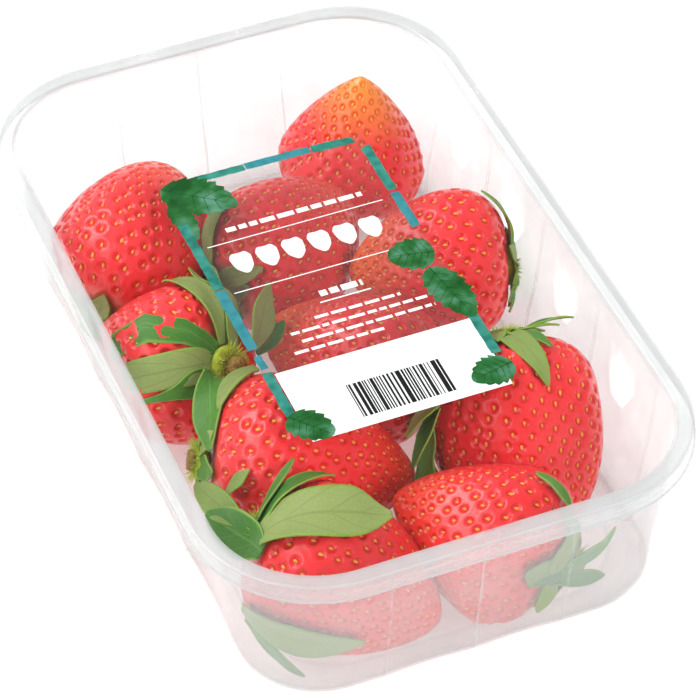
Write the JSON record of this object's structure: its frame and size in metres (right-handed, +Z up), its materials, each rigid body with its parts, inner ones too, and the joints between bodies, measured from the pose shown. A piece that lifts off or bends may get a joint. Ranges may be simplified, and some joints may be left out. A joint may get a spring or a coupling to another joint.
{
  "type": "punnet of strawberries",
  "caption": "Clear thermoformed fruit punnet with a sealed film lid and a layer of whole strawberries inside, a third of the tray left free.",
  "frame": {"origin": "middle of the base, on the surface the punnet stands on", "axes": "+Z up; Y along the long side, with the filled short end at -Y as the front; X along the short side, +X to the right seen from the front"},
  "size_m": [0.1174, 0.187, 0.0446],
  "materials": {
    "tray": "clear thermoformed PET sheet, glossy",
    "lid_film": "thin clear heat-sealed film, glossy",
    "strawberries": "ripe strawberry skin, semi-gloss, dimpled"
  },
  "bodies": {
    "root": {"tray": "tray", "lid_film": "lid_film", "strawberries": "strawberries"}
  },
  "joints": []
}
